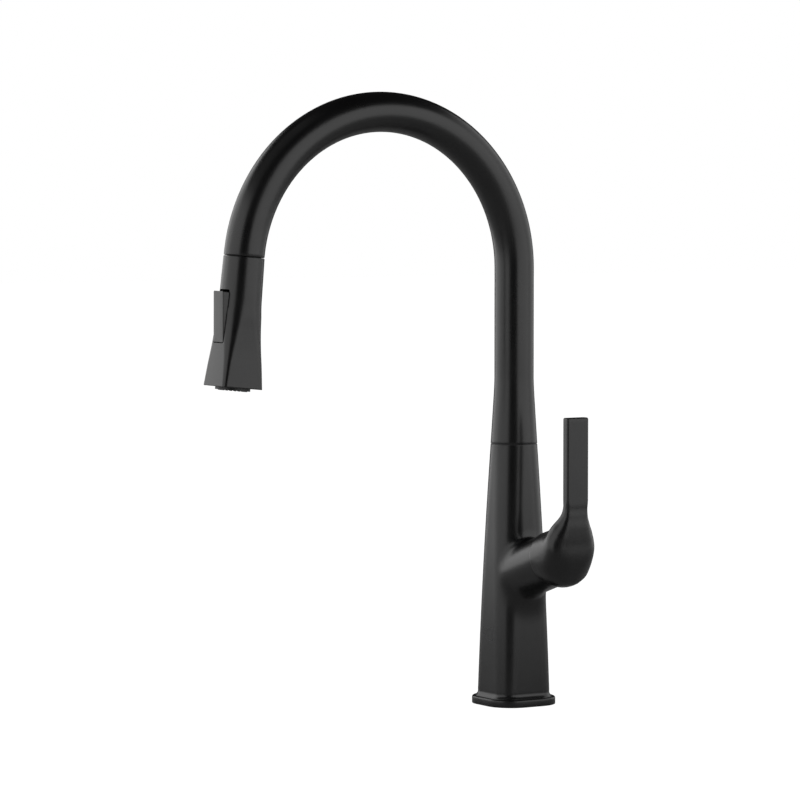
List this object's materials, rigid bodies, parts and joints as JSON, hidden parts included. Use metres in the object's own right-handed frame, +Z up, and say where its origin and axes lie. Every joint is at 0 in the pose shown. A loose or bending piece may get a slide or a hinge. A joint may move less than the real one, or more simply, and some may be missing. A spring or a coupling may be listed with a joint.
{
  "type": "pull-down kitchen faucet",
  "caption": "Single-hole kitchen tap: squared tapering body, side lever, high-arc swivelling spout and a pull-down spray head with a rocker button.",
  "frame": {"origin": "centre of the base plate's underside, on the deck", "axes": "+Z up, spout reaches towards -Y, handle on +X"},
  "size_m": [0.1092, 0.2719, 0.5294],
  "materials": {
    "matte_black": "satin powder coat",
    "black_plastic": "matte",
    "brass": "machined",
    "steel": "machined",
    "rubber": "matte",
    "grey_rubber": "matte",
    "white_plastic": "matte",
    "ceramic": "lapped",
    "braid": "braided nylon"
  },
  "bodies": {
    "base": {"base_plate": "matte_black", "deck_gasket": "rubber", "body_shell": "matte_black", "shank": "brass", "deck_rubber_washer": "rubber", "deck_steel_washer": "steel", "mounting_nut": "brass", "lock_screws": "steel", "waterway_core": "brass", "spout_post": "brass", "lower_bush": "white_plastic", "upper_bush": "white_plastic", "glide_ring": "black_plastic", "retaining_ring": "steel", "cartridge_cup": "brass", "port_seals": "rubber", "cartridge_seal": "rubber", "cartridge_housing": "white_plastic", "fixed_disc": "ceramic", "cartridge_nut": "brass", "bonnet_ring": "matte_black"},
    "mixer": {"cartridge_rotor": "white_plastic", "stem_pin": "steel"},
    "disc": {"moving_disc": "ceramic", "disc_carrier": "white_plastic"},
    "handle": {"handle": "matte_black", "handle_stem": "steel", "set_screw": "steel", "screw_plug": "matte_black"},
    "spout": {"spout_tube": "matte_black", "spout_socket": "brass", "dock_collar": "black_plastic", "dock_magnet": "steel", "spray_hose": "braid", "hose_connector": "brass"},
    "hose_end": {"hose_ferrule": "steel", "hose_nipple": "brass", "nipple_seal": "rubber"},
    "wand": {"wand_shell": "matte_black", "wand_neck": "black_plastic", "neck_ring": "steel", "wand_core": "black_plastic", "strainer": "white_plastic", "check_valve": "white_plastic", "face_plate": "black_plastic", "nozzle_disc": "black_plastic", "spray_nozzles": "grey_rubber", "aerator": "white_plastic", "aerator_screen": "steel", "button_pin": "steel", "plunger_spring": "steel"},
    "button": {"spray_button": "black_plastic"},
    "plunger": {"plunger": "white_plastic", "plunger_seal": "rubber"}
  },
  "joints": [
    {"name": "spout_swivel", "type": "hinge", "parent": "base", "child": "spout", "pos_m": [0, 0, 0.186], "axis": [0, 0, 1], "range_deg": [-120, 120]},
    {"name": "temperature", "type": "hinge", "parent": "base", "child": "mixer", "pos_m": [0.04755, 0, 0.10625], "axis": [0.9511, 0, 0.309], "range_deg": [-45, 45]},
    {"name": "flow", "type": "hinge", "parent": "mixer", "child": "handle", "pos_m": [0.0438, 0, 0.10503], "axis": [0, 1, 0], "range_deg": [0, 22]},
    {"name": "disc_slide", "type": "slide", "parent": "mixer", "child": "disc", "axis": [-0.309, 0, 0.9511], "range_m": [0, 0.005]},
    {"name": "wand_pull", "type": "slide", "parent": "spout", "child": "hose_end", "axis": [0, -0.1011, -0.9949], "range_m": [0, 0.22], "stiffness_N_per_m": 3, "springref_m": -2, "deforming": ["spray_hose"]},
    {"name": "wand_turn", "type": "hinge", "parent": "hose_end", "child": "wand", "pos_m": [0, -0.22165, 0.30823], "axis": [0, -0.1011, -0.9949], "continuous": true},
    {"name": "spray_button", "type": "hinge", "parent": "wand", "child": "button", "pos_m": [0, -0.23736, 0.2664], "axis": [-1, 0, 0], "range_deg": [0, 4.5], "stiffness_Nm_per_rad": 2, "springref_deg": -2.86},
    {"name": "plunger_slide", "type": "slide", "parent": "wand", "child": "plunger", "axis": [0, 0.9949, -0.1011], "range_m": [0, 0.0017], "deforming": ["plunger_spring"]}
  ],
  "couplings": [
    {"joint": "disc_slide", "follows": "flow", "m_per_rad": 0.013},
    {"joint": "plunger_slide", "follows": "spray_button", "m_per_rad": 0.021}
  ]
}
